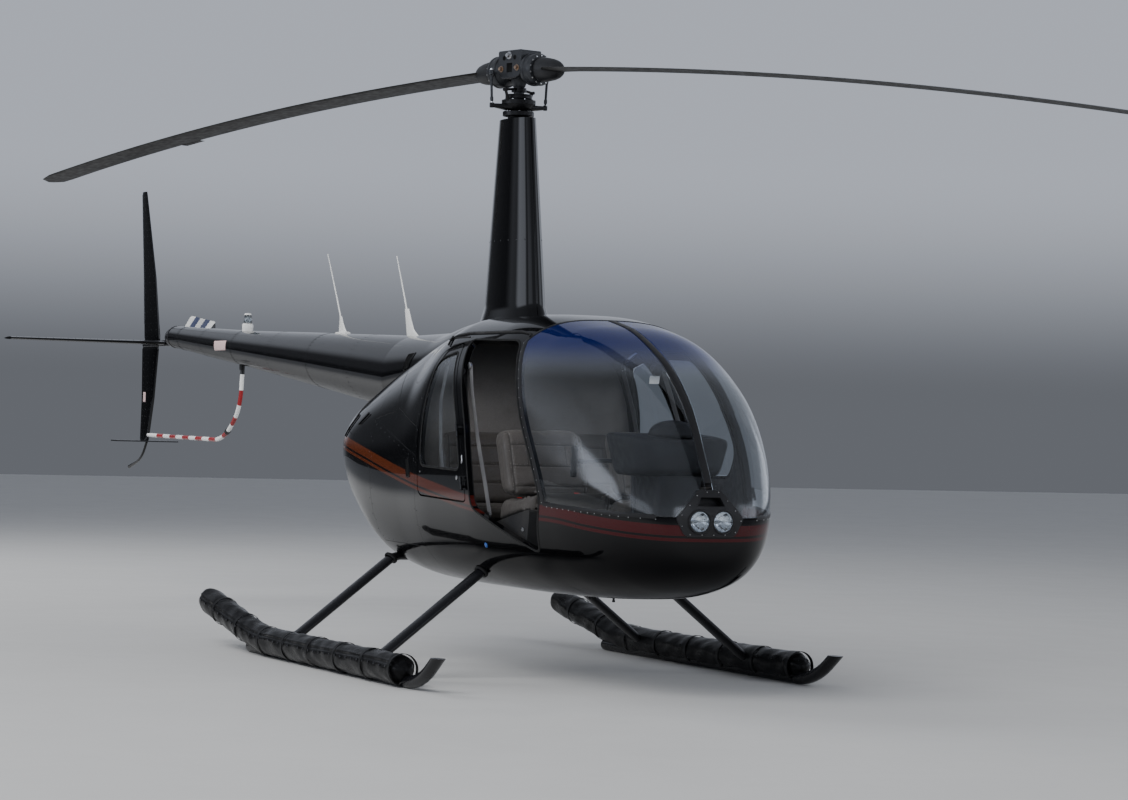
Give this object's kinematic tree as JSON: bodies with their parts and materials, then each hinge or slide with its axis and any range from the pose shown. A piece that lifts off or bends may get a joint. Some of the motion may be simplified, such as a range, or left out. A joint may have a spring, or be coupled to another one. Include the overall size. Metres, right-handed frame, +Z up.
{
  "type": "helicopter",
  "caption": "Light four-seat helicopter with a teetering main rotor, side-mounted tail rotor, skid gear with stowed floats and hinged cabin doors, parked with its starboard front door off.",
  "frame": {"origin": "middle of the base of the whole aircraft's box, on the ground under the skids", "axes": "+X forward out of the nose, +Y to port, +Z up"},
  "size_m": [11.7638, 2.5728, 3.28],
  "materials": {
    "black_paint": "gloss",
    "dark_trim": "satin",
    "white_paint": "gloss",
    "white_plastic": "gloss",
    "clear": "clear",
    "lamp_glass": "clear",
    "cabin_trim": "matte",
    "seat_leather": "matte",
    "bare_metal": "satin",
    "cast_metal": "cast",
    "blade_paint": "satin",
    "float_fabric": "matte"
  },
  "bodies": {
    "airframe": {"cabin_frame": "black_paint", "nose_bowl": "black_paint", "cabin_roof": "black_paint", "rear_cowl": "black_paint", "belly_panel": "black_paint", "upper_cowl": "black_paint", "side_panel_left": "black_paint", "side_panel_right": "black_paint", "boom_fairing": "black_paint", "windshield_left": "clear", "windshield_right": "clear", "windshield_strip": "dark_trim", "light_panel": "dark_trim", "landing_light_left": "lamp_glass", "landing_light_right": "lamp_glass", "firewall": "cabin_trim", "cabin_floor": "cabin_trim", "seat_front_left": "seat_leather", "seat_front_right": "seat_leather", "seat_rear_left": "seat_leather", "seat_rear_right": "seat_leather", "instrument_console": "cabin_trim", "cyclic_stick": "bare_metal", "engine_block": "cast_metal", "main_gearbox": "cast_metal", "mast_fairing": "black_paint", "tail_boom": "black_paint", "tail_gearbox": "dark_trim", "fin_upper": "black_paint", "fin_lower": "black_paint", "stabilizer": "black_paint", "tail_guard": "white_paint", "tail_skid": "dark_trim", "aerial_front": "white_plastic", "aerial_rear": "white_plastic", "beacon": "white_plastic", "cross_tube_front": "black_paint", "cross_tube_rear": "black_paint", "skid_left": "dark_trim", "skid_right": "dark_trim", "float_left": "float_fabric", "float_right": "float_fabric"},
    "main_rotor": {"rotor_hub": "bare_metal", "swashplate": "bare_metal", "rotor_blade_front": "blade_paint", "rotor_blade_rear": "blade_paint"},
    "tail_rotor": {"tail_rotor_hub": "bare_metal", "tail_rotor_blade_front": "blade_paint", "tail_rotor_blade_rear": "blade_paint"},
    "front_door_left": {"door_front_left": "black_paint", "window_front_left": "clear"},
    "rear_door_left": {"door_rear_left": "black_paint", "window_rear_left": "clear"},
    "rear_door_right": {"door_rear_right": "black_paint", "window_rear_right": "clear"}
  },
  "joints": [
    {"name": "main_rotor_spin", "type": "hinge", "parent": "airframe", "child": "main_rotor", "pos_m": [0.97098, 0, 3], "axis": [0, 0, 1], "continuous": true},
    {"name": "tail_rotor_spin", "type": "hinge", "parent": "airframe", "child": "tail_rotor", "pos_m": [-4.899, 0.3, 1.845], "axis": [0, 1, 0], "continuous": true},
    {"name": "front_door_left_hinge", "type": "hinge", "parent": "airframe", "child": "front_door_left", "pos_m": [2.54798, 0.606, 1.135], "axis": [0.4819, 0, -0.8762], "range_deg": [0, 65]},
    {"name": "rear_door_left_hinge", "type": "hinge", "parent": "airframe", "child": "rear_door_left", "pos_m": [1.87598, 0.652, 0.96], "axis": [0.2534, 0, -0.9673], "range_deg": [0, 65]},
    {"name": "rear_door_right_hinge", "type": "hinge", "parent": "airframe", "child": "rear_door_right", "pos_m": [1.87598, -0.652, 0.96], "axis": [-0.2534, 0, 0.9673], "range_deg": [0, 65]}
  ],
  "couplings": [
    {"joint": "tail_rotor_spin", "follows": "main_rotor_spin", "ratio": -5.95}
  ]
}
